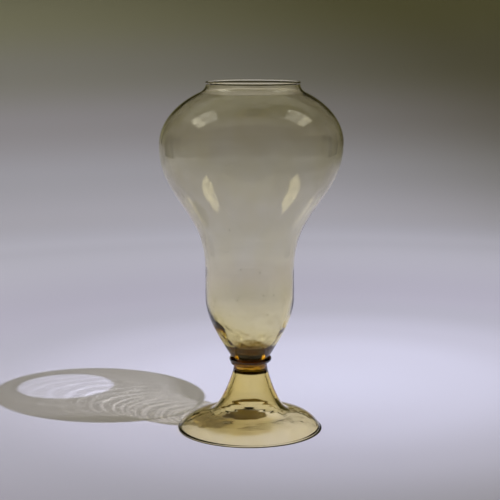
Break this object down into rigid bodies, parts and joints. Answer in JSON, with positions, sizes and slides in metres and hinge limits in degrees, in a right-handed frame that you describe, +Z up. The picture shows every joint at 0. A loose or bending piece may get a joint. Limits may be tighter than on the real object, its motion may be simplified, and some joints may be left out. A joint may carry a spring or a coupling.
{
  "type": "footed glass vase",
  "caption": "Hand-blown footed vase: bulb with a short collar, long waist, closed bottom, a wound glass thread at the neck, and a hollow trumpet foot with a domed dish.",
  "frame": {"origin": "centre of the ring on which the foot rests", "axes": "+Z up along the vase's axis; +Y is the viewing direction of the picture, so -Y is the front, where the thread's end lies"},
  "size_m": [0.156, 0.156, 0.3],
  "materials": {
    "bowl_glass": "clear pale straw-coloured glass, fire polished, with a few seeds",
    "neck_glass": "clear amber where the same glass is thick",
    "foot_glass": "clear straw-coloured glass with fine round tooling lines"
  },
  "bodies": {
    "root": {"bowl": "bowl_glass", "avolio": "neck_glass", "neck_thread": "neck_glass", "foot": "foot_glass"}
  },
  "joints": []
}
